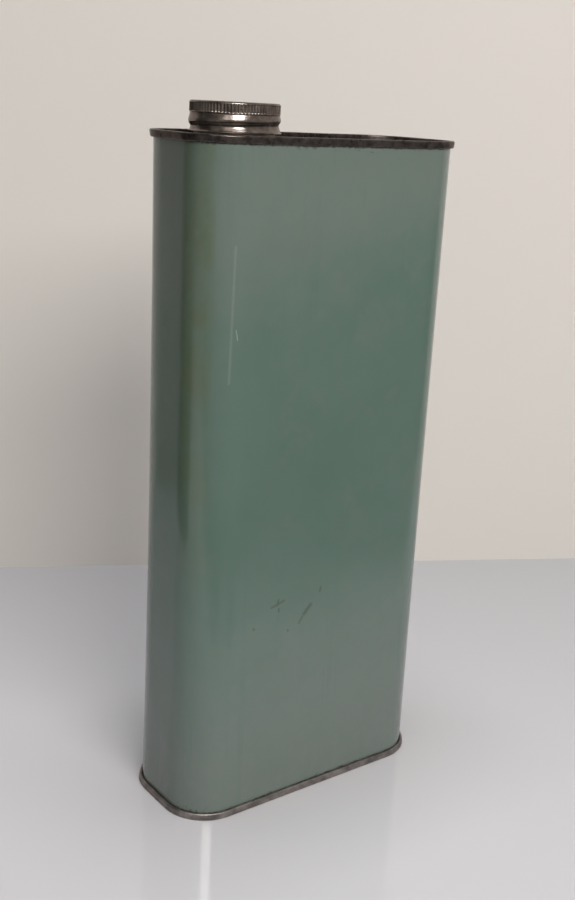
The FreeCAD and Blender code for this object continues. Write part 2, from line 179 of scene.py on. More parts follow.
def can_stations(side_step=3.0, seam_step=3.0, corner_steps=24):
    """Places round the body's outer face, as ((x, y), outward normal), from the middle of the +X side."""
    x, y, r = HALF_WIDTH, HALF_DEPTH, CORNER
    straights = [
        ((x, 0), (x, y - r), 0, seam_step),
        ((x - r, y), (r - x, y), 90, side_step),
        ((-x, y - r), (-x, r - y), 180, side_step),
        ((r - x, -y), (x - r, -y), 270, side_step),
        ((x, r - y), (x, 0), 0, seam_step),
    ]
    centres = [(x - r, y - r), (r - x, y - r), (r - x, r - y), (x - r, r - y)]
    stations = []
    for index, (start, end, facing, step) in enumerate(straights):
        normal = (math.cos(math.radians(facing)), math.sin(math.radians(facing)))
        steps = max(1, round(math.dist(start, end) / step))
        stations += [(point, normal) for point in [start] + line(start, end, steps)[:-1]]
        if index < 4:
            for i in range(corner_steps):
                a = math.radians(index * 90 + 90 * i / corner_steps)
                cx, cy = centres[index]
                stations.append(((cx + r * math.cos(a), cy + r * math.sin(a)), (math.cos(a), math.sin(a))))
    return stations


# ---------------------------------------------------------------- material helpers


class Look:
    """A material with a Principled shader, and short ways to add the nodes that feed it."""

    def __init__(self, name):
        self.material = bpy.data.materials.new(name)
        self.material.use_nodes = True
        self.nodes = self.material.node_tree.nodes
        self.links = self.material.node_tree.links
        self.shader = self.nodes["Principled BSDF"]
        self.place = self.nodes.new("ShaderNodeTexCoord").outputs["Object"]

    def set(self, **values):
        for name, value in values.items():
            socket = self.shader.inputs[name.replace("_", " ")]
            if isinstance(value, bpy.types.NodeSocket):
                self.links.new(value, socket)
            else:
                socket.default_value = value

    def feed(self, socket, value):
        if isinstance(value, bpy.types.NodeSocket):
            self.links.new(value, socket)
        else:
            socket.default_value = value

    def stretched(self, x, y, z):
        """The object's coordinates, scaled along each axis."""
        node = self.nodes.new("ShaderNodeMapping")
        self.links.new(self.place, node.inputs["Vector"])
        node.inputs["Scale"].default_value = (x, y, z)
        return node.outputs["Vector"]

    def noise(self, size, detail=3.0, roughness=0.55, where=None, distortion=0.0):
        """Noise of 0 to 1, with features of the given size in millimetres."""
        node = self.nodes.new("ShaderNodeTexNoise")
        self.links.new(where or self.place, node.inputs["Vector"])
        node.inputs["Scale"].default_value = 1 / (size * MM)
        node.inputs["Detail"].default_value = detail
        node.inputs["Roughness"].default_value = roughness
        node.inputs["Distortion"].default_value = distortion
        return node.outputs["Fac"]

    def axis(self, name):
        """One of the object's coordinates, in millimetres."""
        if not hasattr(self, "split"):
            self.split = self.nodes.new("ShaderNodeSeparateXYZ")
            self.links.new(self.place, self.split.inputs[0])
        return self.math("MULTIPLY", self.split.outputs[name], 1 / MM)

    def math(self, operation, a, b=0.0, c=0.0, clamp=False):
        node = self.nodes.new("ShaderNodeMath")
        node.operation = operation
        node.use_clamp = clamp
        for socket, value in zip(node.inputs, (a, b, c)):
            self.feed(socket, value)
        return node.outputs[0]

    def step(self, value, low, high, start=0.0, end=1.0):
        """A smooth rise from start to end as value goes from low to high."""
        node = self.nodes.new("ShaderNodeMapRange")
        node.interpolation_type = "SMOOTHSTEP"
        for name, number in (
            ("Value", value),
            ("From Min", low),
            ("From Max", high),
            ("To Min", start),
            ("To Max", end),
        ):
            self.feed(node.inputs[name], number)
        return node.outputs[0]

    def mix(self, share, a, b, kind="MIX"):
        """A blend of two colours."""
        node = self.nodes.new("ShaderNodeMix")
        node.data_type = "RGBA"
        node.blend_type = kind
        self.feed(node.inputs["Factor"], share)
        self.feed(node.inputs["A"], a if isinstance(a, bpy.types.NodeSocket) else (*a, 1))
        self.feed(node.inputs["B"], b if isinstance(b, bpy.types.NodeSocket) else (*b, 1))
        return [o for o in node.outputs if o.type == "RGBA"][0]

    def bump(self, height, distance, strength=1.0):
        """A bump of the given height in millimetres, in the shader's normal."""
        node = self.nodes.new("ShaderNodeBump")
        node.inputs["Strength"].default_value = strength
        node.inputs["Distance"].default_value = distance * MM
        self.links.new(height, node.inputs["Height"])
        self.links.new(node.outputs["Normal"], self.shader.inputs["Normal"])


    def scratch(self, start, end, width, softness=0.25):
        """A ragged mark along a line from start to end, each (x, z), on a face that looks along Y."""
        along = (end[0] - start[0], end[1] - start[1])
        across = [self.math("SUBTRACT", self.axis(name), place) for name, place in zip("XZ", start)]
        share = self.math("MULTIPLY", across[0], along[0])
        share = self.math("MULTIPLY_ADD", across[1], along[1], share)
        share = self.math("DIVIDE", share, along[0] ** 2 + along[1] ** 2, clamp=True)
        off = [self.math("MULTIPLY_ADD", share, -step, part) for part, step in zip(across, along)]
        squares = self.math("MULTIPLY_ADD", off[0], off[0], self.math("MULTIPLY", off[1], off[1]))
        away = self.math("ADD", self.math("SQRT", squares), self.math("MULTIPLY", self.rag(), width))
        return self.step(away, width * (1 + softness), width * (1 - softness))

    def rag(self):
        """The fine noise that makes scratches ragged, made once."""
        if not hasattr(self, "rag_noise"):
            self.rag_noise = self.noise(0.7, 3.0, 0.6)
        return self.rag_noise


# ---------------------------------------------------------------- materials

PAINT = (0.116, 0.182, 0.150)
PAINT_DEEP = (0.100, 0.170, 0.136)
# The paler, greyer paint used towards both ends: partly chalking, partly painted reflection.
PAINT_CHALK_AND_SHEEN = (0.168, 0.200, 0.177)
PAINT_GREYED = (0.140, 0.180, 0.152)
PAINT_OLIVE = (0.115, 0.150, 0.085)


# Marks on the -Y side, as start (x, z), end (x, z) and width.
CHIPS = [
    ((-20.6, 301.6), (-18.4, 300.6), 0.9),
    ((24.0, 301.4), (26.0, 301.0), 0.5),
    ((17.8, 3.6), (20.0, 3.4), 0.9),
    ((27.6, 3.9), (29.0, 3.9), 0.5),
]
SCUFFS = [
    ((-9.6, 92.6), (-6.2, 96.4), 1.5),
    ((-12.4, 88.6), (-10.6, 91.4), 0.7),
    ((-24.7, 102.6), (-25.3, 100.4), 0.9),
    ((-28.4, 99.8), (-21.5, 101.8), 0.8),
    ((-24.4, 98.6), (-24.3, 96.9), 0.7),
    ((-0.7, 104.0), (-1.0, 102.1), 0.9),
    ((-18.7, 86.5), (-18.5, 86.2), 0.8),
    ((-38.0, 91.6), (-37.8, 91.3), 0.9),
]
PALE_TICKS = [
    ((-53.3, 228.2), (-52.5, 224.2), 0.42),
]
# A painted highlight: a pale streak along the bend of the near corner, where the paint glints.
GLINT_STREAKS = [
    ((-55.4, 206.0), (-54.8, 262.0), 0.75),
]


def enamel_look():
    """Grey-green enamel, paler towards both ends (partly chalking, partly painted reflection), with a dark ragged band
    beside the seams (partly dirt, partly painted shade), scratches, specks and a painted highlight along the near
    corner's bend.
    """
    look = Look("grey_green_enamel")
    height = look.axis("Z")
    x, y = look.axis("X"), look.axis("Y")
    cloud = look.noise(60, 3.0, 0.5)
    paint = look.mix(look.step(cloud, 0.35, 0.65), PAINT_DEEP, PAINT)
    patch = look.noise(19, 4.0, 0.6)
    wander = look.math("MULTIPLY_ADD", look.math("SUBTRACT", cloud, 0.5), 60.0, height)
    wander = look.math("MULTIPLY_ADD", look.math("SUBTRACT", patch, 0.5), 50.0, wander)
    wander = look.math("MULTIPLY_ADD", x, -0.2, wander)
    # Paler and greyer towards both ends: partly chalked paint, partly painted reflection.
    upper = look.step(wander, 205, 290, 0.0, 0.65)
    lower = look.step(wander, 125, 10, 0.0, 0.95)
    paint = look.mix(look.math("MAXIMUM", upper, lower), paint, PAINT_CHALK_AND_SHEEN)
    mottle = look.noise(7, 4.0, 0.6)
    paint = look.mix(look.step(mottle, 0.3, 0.75, 0.0, 0.16), paint, PAINT_DEEP)
    paint = look.mix(look.step(patch, 0.50, 0.70, 0.0, 0.35), paint, PAINT_GREYED)
    streaks = look.noise(5, 4.0, 0.6, where=look.stretched(1, 1, 0.05))
    paint = look.mix(look.step(streaks, 0.52, 0.72, 0.0, 0.22), paint, PAINT_DEEP)
    olive = look.math("MULTIPLY_ADD", streaks, 3.0, y)
    olive = look.step(look.math("ABSOLUTE", look.math("ADD", olive, 15.0)), 8.5, 4.5)
    olive = look.math("MULTIPLY", olive, look.step(patch, 0.30, 0.65, 0.25, 0.75))
    olive = look.math("MULTIPLY", olive, look.math("LESS_THAN", x, -50.0))
    paint = look.mix(look.math("MULTIPLY", olive, look.step(height, 80, 190)), paint, PAINT_OLIVE)

    half = HEIGHT / 2
    edge = look.math("ABSOLUTE", look.math("SUBTRACT", height, half))
    ragged = look.math("MULTIPLY_ADD", look.noise(1.5, 4.0, 0.7), 3.8, edge)
    ragged = look.math("SUBTRACT", ragged, look.step(height, 200, 100, 0.0, 0.45))
    # A dark ragged band beside each seam: partly dirt at the paint's edge, partly painted shade under the seam's
    # overhang.
    seam_grime_and_shade = look.step(ragged, half - 2.0, half - 1.3)
    corner = look.math("MULTIPLY_ADD", y, 0.45, x)
    low_corner = look.math("MULTIPLY", look.step(corner, -64, -72, 0.0, 0.09), look.math("LESS_THAN", height, 40))
    speck_room = look.math("ADD", look.step(edge, half - 11, half - 3, 0.0, 0.13), low_corner)
    speck = look.step(look.math("ADD", look.noise(1.5, 3.0, 0.65), speck_room), 0.76, 0.80)
    front = look.math("LESS_THAN", y, 0.0)

    def marks(places, softness, share):
        """Where the marks of one kind are, from 0 to the given share."""
        cover = 0.0
        for start, end, width in places:
            cover = look.math("MAXIMUM", cover, look.scratch(start, end, width, softness))
        return look.math("MULTIPLY", look.math("MULTIPLY", cover, front), share)

    speck = look.math("MAXIMUM", speck, marks(CHIPS, 0.25, 1.0))
    scuff = marks(SCUFFS, 0.6, 0.6)
    # Pale ticks, and the painted highlight along the corner's bend.
    pale = look.math("MAXIMUM", marks(PALE_TICKS, 0.3, 0.42), marks(GLINT_STREAKS, 0.9, 0.18))
    stripe = look.math("ABSOLUTE", look.math("ADD", y, 0.4))
    stripe = look.math("MULTIPLY_ADD", look.noise(3, 3.0), 0.8, stripe)
    seam_side = look.math("GREATER_THAN", x, HALF_WIDTH - 2)
    bare = look.math("MULTIPLY", look.step(stripe, 5.2, 5.0), seam_side)

    tin = look.mix(look.noise(6, 4.0, 0.65), (0.10, 0.09, 0.08), (0.24, 0.22, 0.20))
    colour = look.mix(scuff, paint, (0.045, 0.062, 0.030))
    colour = look.mix(pale, colour, (0.42, 0.47, 0.42))
    colour = look.mix(look.math("MULTIPLY", speck, 0.8), colour, (0.035, 0.040, 0.026))
    colour = look.mix(bare, colour, tin)
    colour = look.mix(seam_grime_and_shade, colour, (0.030, 0.026, 0.020))
    look.set(Base_Color=colour)
    look.set(Metallic=look.math("MULTIPLY", bare, 0.8))
    rough = look.step(look.noise(25, 3.0), 0.3, 0.7, 0.10, 0.17)
    worn_and_shaded = look.math("MAXIMUM", bare, look.math("MAXIMUM", seam_grime_and_shade, speck))
    look.set(Roughness=look.math("MAXIMUM", rough, look.math("MULTIPLY", worn_and_shaded, 0.42)))
    look.set(IOR=1.7)
    fine = look.math("MULTIPLY", look.noise(1.6, 2.0), 0.008)
    look.bump(look.math("MULTIPLY_ADD", worn_and_shaded, -0.03, fine), 1.0)
    return look.material


def tinplate_look(name, dark, light, rust=0.12, gloss=(0.36, 0.55), worn_and_shaded=None):
    """Aged bare tinplate: mottled grey-brown metal with darker stains and a little rust. Given a vertex attribute, it
    is darker where that is low, as in the cap's hollows: partly dirt, partly painted shade.
    """
    look = Look(name)
    mottle = look.noise(5, 5.0, 0.65)
    stain = look.noise(14, 4.0, 0.6, distortion=0.6)
    colour = look.mix(look.step(mottle, 0.3, 0.7), dark, light)
    colour = look.mix(look.step(stain, 0.55, 0.75, 0.0, 0.55), colour, tuple(c * 0.45 for c in dark))
    spots = look.step(look.math("ADD", look.noise(2.5, 4.0, 0.7), rust), 0.78, 0.86)
    colour = look.mix(spots, colour, (0.075, 0.034, 0.016))
    # Darker where the attribute is low: partly dirt, partly painted shade.
    if worn_and_shaded:
        crest_wear_hollow_shade = look.nodes.new("ShaderNodeAttribute")
        crest_wear_hollow_shade.attribute_name = worn_and_shaded
        colour = look.mix(crest_wear_hollow_shade.outputs["Fac"], look.mix(0.35, colour, tuple(c * 0.3 for c in dark)), colour)
    look.set(Base_Color=colour, Specular_Tint=(0.75, 0.71, 0.69, 1))
    look.set(Metallic=look.step(spots, 0.0, 1.0, 0.9, 0.1))
    look.set(Roughness=look.step(mottle, 0.3, 0.75, *gloss))
    look.bump(look.noise(0.8, 3.0, 0.6), 0.015)
    return look.material


def solder_look():
    """Dull grey solder with a wrinkled skin."""
    look = Look("dull_solder")
    ripple = look.noise(1.8, 4.0, 0.6)
    look.set(Base_Color=look.mix(ripple, (0.20, 0.20, 0.20), (0.40, 0.40, 0.40)))
    look.set(Metallic=0.9, Roughness=look.step(ripple, 0.3, 0.7, 0.38, 0.6))
    look.bump(ripple, 0.05)
    return look.material


def compound_look():
    """Dried sealing compound, slightly lumpy."""
    look = Look("sealing_compound")
    lumps = look.noise(1.2, 3.0, 0.6)
    look.set(Base_Color=look.mix(lumps, (0.10, 0.085, 0.06), (0.17, 0.15, 0.11)))
    look.set(Roughness=look.step(lumps, 0.3, 0.7, 0.6, 0.8))
    look.bump(lumps, 0.05)
    return look.material


def cork_look():
    """Pressed cork: pale grains with dark pits between them."""
    look = Look("pressed_cork")
    grains = look.nodes.new("ShaderNodeTexVoronoi")
    look.links.new(look.place, grains.inputs["Vector"])
    grains.inputs["Scale"].default_value = 1 / (1.4 * MM)
    pit = look.step(look.noise(0.9, 3.0, 0.7), 0.62, 0.72)
    colour = look.mix(look.step(grains.outputs["Distance"], 0.1, 0.7), (0.42, 0.26, 0.13), (0.25, 0.14, 0.065))
    colour = look.mix(pit, colour, (0.07, 0.035, 0.018))
    look.set(Base_Color=colour)
    look.set(Roughness=look.step(pit, 0.0, 1.0, 0.75, 0.9))
    look.bump(look.math("MULTIPLY", pit, -1.0), 0.12)
    return look.material


# ---------------------------------------------------------------- pieces of the can


def wall_bow(x, y, z):
    """How far the wall stands inside its true face: a thin can draws in between its two stiff ends."""
    along = math.sin(math.pi * z / HEIGHT)
    towards_neck = 0.5 - 0.5 * x / HALF_WIDTH
    drawn_in = 0.2 + 0.6 * towards_neck
    flat = max(0.0, 1 - (x / (HALF_WIDTH - CORNER)) ** 2) if abs(y) > HALF_DEPTH - 1 else 0.0
    return along * (drawn_in + 0.35 * flat) + 0.05 * along * wobble(x, y, z, 45, 3.1)


def seam_groove(x, y):
    """The shallow groove outside the locked side seam, in the middle of the +X side."""
    if x < HALF_WIDTH - 0.5:
        return 0.0
    groove = 0.22 * math.exp(-(((y + 2.95) / 0.28) ** 2))
    land = 0.10 * (smooth_step(-3.6, -2.9, y) - smooth_step(2.6, 3.6, y))
    return groove + land


def body_section():
    """The middle line of the body's sheet, as (outset, height), with a hook at each end."""
    half = SHEET / 2
    hook = 2 * HOOK_GAP + half
    bend = HOOK_GAP + half
    level = 2 * SHEET + 2 * SLACK + HOOK_GAP
    lower = line((hook, level + HOOK_LENGTH), (hook, level), 2)
    path = [(hook, level + HOOK_LENGTH)] + lower
    path += arc((HOOK_GAP, level), bend, 0, -180, 8)[1:]
    path += line((-half, level), (-half, HEIGHT - level), 104)
    path += arc((HOOK_GAP, HEIGHT - level), bend, 180, 0, 8)[1:]
    return path + line((hook, HEIGHT - level), (hook, HEIGHT - level - HOOK_LENGTH), 2)


def build_body():
    stations = can_stations(side_step=3.2, seam_step=0.3)
    section = offset_both_sides(body_section(), SHEET)
    points = []
    for (x, y), (nx, ny) in stations:
        for outset, z in section:
            away = outset - wall_bow(x, y, z) - seam_groove(x, y)
            points.append((x + nx * away, y + ny * away, z))
    faces = loop_faces(len(stations), len(section))
    return make_piece(
        "enamelled_body", points, faces, "can", ["body_shell"], enamel_look()
    )


def end_section():
    """The middle line of an end's sheet, from the panel's bead to the cover hook, as (outset, depth)."""
    half = SHEET / 2
    depth = COUNTERSINK + half
    chuck = -SHEET - 0.03 - half
    edge_radius = 1.0 + half
    edge = chuck - edge_radius
    bead_start, bead_end = edge - 3.9, edge - 0.9
    path = [(bead_start - 0.9, depth)]
    for i in range(17):
        share = i / 16
        rise = 0.7 * math.sin(math.pi * share) ** 2
        path.append((bead_start + (bead_end - bead_start) * share, depth - rise))
    path += arc((edge, depth - edge_radius), edge_radius, 90, 0)
    turn = 0.46
    path += line(path[-1], (chuck, half + turn), 5)
    path += arc((chuck + turn, half + turn), turn, 180, 270)[1:]
    outside = RIM_OUTSET - half
    path += arc((outside - turn, half + turn), turn, 270, 360)
    curl = (outside - SEAM_TAPER - SLACK - half) / 2
    curl_centre = (outside - SEAM_TAPER - curl, RIM_HEIGHT - half - curl)
    path += line(path[-1], (outside - SEAM_TAPER, curl_centre[1]), 5)
    path += arc(curl_centre, curl, 0, 180, 14)[1:]
    path += line(path[-1], (SLACK + half, 1.3), 2)
    return path


def rim_unevenness(x, y, outset, depth, seed):
    """Small dips in a hand-fed double seam. The rim only ever gives way inwards and away from its edge."""
    outer = smooth_step(0.6, 1.5, outset)
    crest = smooth_step(1.0, 0.1, depth) * smooth_step(-0.8, -0.2, outset)
    inward = (0.06 + 0.06 * wobble(x, y, 0, 9, seed) + 0.05 * wobble(x, y, depth, 2.4, seed + 5)) * outer
    sunk = (0.04 + 0.05 * wobble(x, y, 0, 13, seed + 9)) * crest
    return max(0.0, inward), max(0.0, sunk)


def build_end(name, node, top):
    """A pressed end with its double seam. The top one leaves a round hole below the neck."""
    stations = can_stations(side_step=2.4)
    path = end_section()
    inner = path[0]
    rings = 14
    hole = (NECK_X, 0.0, NECK_RADIUS - NECK_SHEET) if top else (0.0, 0.0, 1.0)
    outline = offset_both_sides(path, SHEET)
    count = len(path)
    first, second = outline[:count], outline[count:]
    seed = 1.7 if top else 6.3
    points = []

    def place(x, y, depth):
        points.append((x, y, HEIGHT - depth if top else depth))

    for (x, y), (nx, ny) in stations:
        ix, iy = x + nx * inner[0], y + ny * inner[0]
        away = math.hypot(ix - hole[0], iy - hole[1])
        hx = hole[0] + (ix - hole[0]) / away * hole[2]
        hy = hole[1] + (iy - hole[1]) / away * hole[2]
        panel = [(hx + (ix - hx) * k / rings, hy + (iy - hy) * k / rings) for k in range(rings)]

        def dent(px, py, share):
            return 0.16 * wobble(px, py, 0, 28, seed) * math.sin(math.pi * share)

        def rim(side):
            for outset, depth in side:
                inward, sunk = rim_unevenness(x, y, outset, depth, seed)
                place(x + nx * (outset - inward), y + ny * (outset - inward), depth + sunk)

        for k, (px, py) in enumerate(panel):
            place(px, py, inner[1] + SHEET / 2 + dent(px, py, k / rings))
        under = first if first[0][1] > inner[1] else second[::-1]
        over = second if first[0][1] > inner[1] else first[::-1]
        rim(under)
        rim(over)
        for k, (px, py) in reversed(list(enumerate(panel))):
            place(px, py, inner[1] - SHEET / 2 + dent(px, py, k / rings))
    columns = 2 * (rings + count)
    faces = loop_faces(len(stations), columns)
    if top:
        # The top end's tinplate is painted far darker than the bottom end's: painted shade, in place of the dark
        # surroundings its seam reflects.
        tin = tinplate_look(name + "_tinplate", (0.058, 0.049, 0.048), (0.145, 0.127, 0.122), 0.06, (0.24, 0.42))
    else:
        faces = [f[::-1] for f in faces]
        tin = tinplate_look(name + "_tinplate", (0.155, 0.141, 0.136), (0.34, 0.315, 0.305), 0.14, (0.36, 0.52))
    return make_piece(name, points, faces, "can", [node], tin)


def build_compound(name, node, top):
    """The sealing ring that fills the seam, outside the body's hook."""
    inner = 2 * HOOK_GAP + SHEET + SLACK
    outer = RIM_OUTSET - SHEET - SLACK
    near = 2 * SHEET + 2 * SLACK + HOOK_GAP
    far = near + HOOK_LENGTH - SLACK
    section = [(inner, near)] + line((inner, near), (inner, far), 4)
    section += [(outer - SEAM_TAPER, far)] + line((outer - SEAM_TAPER, far), (outer, near), 4)
    points = []
    for (x, y), (nx, ny) in can_stations():
        for outset, depth in section:
            lump = 0.02 * (1 + wobble(x, y, depth, 2.0, 8.8)) * smooth_step(inner, inner + 0.05, outset)
            away = outset - lump
            points.append((x + nx * away, y + ny * away, HEIGHT - depth if top else depth))
    faces = loop_faces(len(points) // len(section), len(section))
    return make_piece(name, points, faces, "can", [node], compound_look())


# ---------------------------------------------------------------- neck, cap and wad


def thread_height(angle, turns=1.0):
    """The level of the cap's rolled thread at an angle in degrees, which may pass 360."""
    return THREAD_LEVEL + THREAD_LEAD * (angle - THREAD_ANGLE) / 360


def trough(offset, width):
    """A smooth hollow, 1 deep in the middle. width is its half width, or one below and one above."""
    below, above = width if isinstance(width, tuple) else (width, width)
    reach = above if offset > 0 else below
    if abs(offset) > reach:
        return 0.0
    return 0.5 + 0.5 * math.cos(math.pi * offset / reach)


def helix_depth(level, angle, start, end, fade, width, shift=0.0):
    """How deep a rolled thread is at a level and angle, from 0 to 1. start and end are in degrees."""
    degrees = math.degrees(angle) % 360
    depth = 0.0
    for turn in (-360, 0, 360, 720):
        a = degrees + turn
        shown = smooth_step(start, start + fade, a) * smooth_step(end, end - fade, a)
        depth = max(depth, shown * trough(level - thread_height(a) - shift, width))
    return depth


def build_cap():
    """The pressed cap: every feature is rolled into one sheet, so the inside follows the outside."""
    corner = 0.9
    outer = [(0.0, CAP_TOP - 0.12)] + line((0.0, CAP_TOP - 0.12), (15.2, CAP_TOP - 0.12), 8)
    outer += line(outer[-1], (15.8, CAP_TOP), 4) + line((15.8, CAP_TOP), (CAP_RADIUS - corner, CAP_TOP), 3)
    outer += arc((CAP_RADIUS - corner, CAP_TOP - corner), corner, 90, 0, 8)[1:]
    outer += line((CAP_RADIUS, CAP_TOP - corner), (CAP_RADIUS, 0.75), 84)
    hem = arc((CAP_LAND - 0.1, 0.45), 0.25, 0, -180, 6)
    inner = [(CAP_RADIUS - CAP_SHEET, z) for r, z in outer[::-1] if z < CAP_TOP - corner]
    roof = CAP_TOP - CAP_SHEET
    inner += arc((CAP_RADIUS - corner, CAP_TOP - corner), corner - CAP_SHEET, 0, 90, 6)
    inner += line(inner[-1], (0.0, roof), 8)
    outside = len(outer)
    section = outer + hem + inner

    def shape(radius, level, angle):
        if level > CAP_TOP - corner + 0.01 or radius < CAP_RADIUS - CAP_SHEET - 0.01:
            return radius, level
        flank = 6.25 + 0.55 * math.sin(angle - math.radians(236))
        below = smooth_step(7.75, 7.35, level)
        r = radius + (CAP_LAND - CAP_RADIUS) * below - 0.57 * below * smooth_step(flank - 1.3, flank + 1.3, level)
        thread = 0.85 * helix_depth(level, angle, 95, 470, 45, (2.9, 1.95))
        r += 0.06 * smooth_step(0.9, 0.3, level) - thread * smooth_step(0.1, 0.6, level)
        if level > 7.75 and radius > CAP_RADIUS - 0.01:
            window = smooth_step(7.75, 8.25, level) * smooth_step(CAP_TOP - 0.55, CAP_TOP - 1.1, level)
            r -= window * 0.19 * (1 - math.cos(KNURLS * angle))
        dent = 0.03 * wobble(r * math.cos(angle), r * math.sin(angle), level, 7, 2.2)
        return r + dent, level

    points, faces = lathe(section, KNURLS * 8, shape)
    tin = tinplate_look("cap_tinplate", (0.145, 0.121, 0.112), (0.315, 0.272, 0.252), 0.03, (0.17, 0.29), WEAR_AND_HOLLOW_SHADE)
    piece = make_piece("knurled_cap", points, faces, "cap", ["cap_shell"], tin)
    # The attribute is 1 on the outermost metal of the side, and lower in the knurls' valleys, the thread groove, round
    # the top edge, on the top and inside, where the tin is made darker: partly dirt, partly painted shade.
    wear_and_hollow_shade = piece.data.attributes.new(WEAR_AND_HOLLOW_SHADE, "FLOAT", "POINT")
    for vertex, share in zip(piece.data.vertices, wear_and_hollow_shade.data):
        radius = math.hypot(vertex.co.x / MM - NECK_X, vertex.co.y / MM)
        level = vertex.co.z / MM - HEIGHT
        low, high = (18.45, 18.8) if level > 7.75 else (17.9, 18.9)
        share.value = smooth_step(low, high, radius) * smooth_step(CAP_TOP - 0.3, CAP_TOP - 0.9, level)
    return piece


def build_neck():
    floor = -COUNTERSINK
    sheet = NECK_SHEET
    middle = NECK_RADIUS - sheet / 2
    path = [(NECK_FLANGE, floor + sheet / 2)]
    path += line(path[0], (middle + 0.8, floor + sheet / 2), 6)
    path += arc((middle + 0.8, floor + sheet / 2 + 0.8), 0.8, -90, -180, 6)[1:]
    path += line(path[-1], (middle, NECK_TOP - 0.85), 90)
    path += arc((NECK_RADIUS - 0.85, NECK_TOP - 0.85), 0.85 - sheet / 2, 0, 180, 12)[1:]
    path += line(path[-1], (NECK_RADIUS - 1.7 + sheet / 2, NECK_TOP - 1.9), 3)
    section = offset_both_sides(path, sheet)

    def shape(radius, level, angle):
        if radius < middle - sheet or level > NECK_TOP - 0.86:
            return radius, level
        bead = 0.9 * trough(level + 2.4, 1.1)
        thread = 1.1 * helix_depth(level, angle, 290, 830, 40, 1.05, -THREAD_LEAD / 2)
        thread *= smooth_step(-0.7, 0.0, level)
        return radius + bead + thread, level

    points, faces = lathe(section, 240, shape)
    tin = tinplate_look("neck_tinplate", (0.24, 0.22, 0.20), (0.44, 0.41, 0.38), rust=0.05)
    return make_piece("threaded_neck", points, faces, "can", ["screw_neck"], tin)


def build_neck_solder():
    """An uneven fillet round the neck's flange."""
    floor = -COUNTERSINK + 0.03
    inner = NECK_FLANGE + 0.03
    section = [(inner, floor)] + [(inner, floor + 0.36)]
    section += [(inner + 0.9 * s, floor + 0.36 * (1 - s) ** 1.7) for s in (0.2, 0.4, 0.6, 0.8)]
    section += [(inner + 0.9, floor)]

    def shape(radius, level, angle):
        lump = 0.5 + 0.5 * wobble(30 * math.cos(angle), 30 * math.sin(angle), 0, 7, 4.4)
        return inner + (radius - inner) * (0.55 + 0.45 * lump), floor + (level - floor) * (0.75 + 0.25 * lump)

    points, faces = lathe(section, 200, shape)
    return make_piece("neck_solder_fillet", points, faces, "can", ["neck_solder"], solder_look())


def pressed_ring(radius):
    """The print that the neck's lip leaves in the wad."""
    return trough(radius - (NECK_RADIUS - 0.85), 1.3)


def build_wad():
    top, bottom = CAP_TOP - CAP_SHEET - 0.02, CAP_TOP - CAP_SHEET - 2.02
    section = [(0.0, top)] + line((0.0, top), (WAD_RADIUS - 0.25, top), 10)
    section += arc((WAD_RADIUS - 0.25, top - 0.25), 0.25, 90, 0, 4)[1:]
    section += line(section[-1], (WAD_RADIUS, bottom), 4)
    section += line((WAD_RADIUS, bottom), (0.0, bottom), 30)

    def shape(radius, level, angle):
        x, y = radius * math.cos(angle), radius * math.sin(angle)
        if radius > WAD_RADIUS - 0.3:
            return radius - 0.12 * (1 + wobble(x, y, level, 1.6, 7.7)), level
        return radius, level

    points, faces = lathe(section, 120, shape)
    return make_piece("cork_wad", points, faces, "cap_liner", ["cap_wad"], cork_look())


def build_facing():
    top = CAP_TOP - CAP_SHEET - 2.02
    low = top - 0.2
    section = [(0.0, top)] + line((0.0, top), (WAD_RADIUS - 0.15, top), 40)
    section += [(WAD_RADIUS - 0.15, low)] + line((WAD_RADIUS - 0.15, low), (0.0, low), 40)

    def shape(radius, level, angle):
        if level > low + 0.01:
            return radius, level
        return radius, level + 0.09 * pressed_ring(radius)

    points, faces = lathe(section, 144, shape)
    tin = tinplate_look("facing_foil", (0.45, 0.44, 0.42), (0.66, 0.65, 0.63), rust=0.0)
    return make_piece("tinned_facing", points, faces, "cap_liner", ["wad_facing"], tin)


# ---------------------------------------------------------------- stage, light and camera


def stage_plane(name, corners, colour, roughness):
    mesh = bpy.data.meshes.new(name)
    mesh.from_pydata([tuple(c * MM for c in corner) for corner in corners], [], [(0, 1, 2, 3)])
    plane = bpy.data.objects.new(name, mesh)
    bpy.context.scene.collection.objects.link(plane)
    look = Look(name)
    look.set(Base_Color=(*colour, 1), Roughness=roughness)
    mesh.materials.append(look.material)
    return plane, look


def clear_from_behind(look, hole=None):
    """Lets a view from behind a stage plane see through it. hole is 1 where it is clear from both sides."""
    see_through = look.nodes.new("ShaderNodeBsdfTransparent")
    chooser = look.nodes.new("ShaderNodeMixShader")
    behind = look.nodes.new("ShaderNodeNewGeometry").outputs["Backfacing"]
    look.feed(chooser.inputs[0], behind if hole is None else look.math("MAXIMUM", behind, hole))
    look.links.new(look.shader.outputs[0], chooser.inputs[1])
    look.links.new(see_through.outputs[0], chooser.inputs[2])
    look.links.new(chooser.outputs[0], look.nodes["Material Output"].inputs["Surface"])


def reflection_card(name, corners, glow):
    """A dimly glowing card that only the gloss sees."""
    card, look = stage_plane(name, corners, (0.0, 0.0, 0.0), 1.0)
    card.visible_camera = card.visible_shadow = card.visible_transmission = card.visible_diffuse = False
    shine = look.nodes.new("ShaderNodeEmission")
    look.feed(shine.inputs["Color"], glow if isinstance(glow, bpy.types.NodeSocket) else (*glow, 1))
    look.links.new(shine.outputs[0], look.nodes["Material Output"].inputs["Surface"])
    return look, shine


def flag(name, corners):
    """A black card that takes soft light away and is not seen otherwise."""
    card, look = stage_plane(name, corners, (0.01, 0.01, 0.01), 1.0)
    card.visible_camera = card.visible_shadow = card.visible_transmission = card.visible_glossy = False


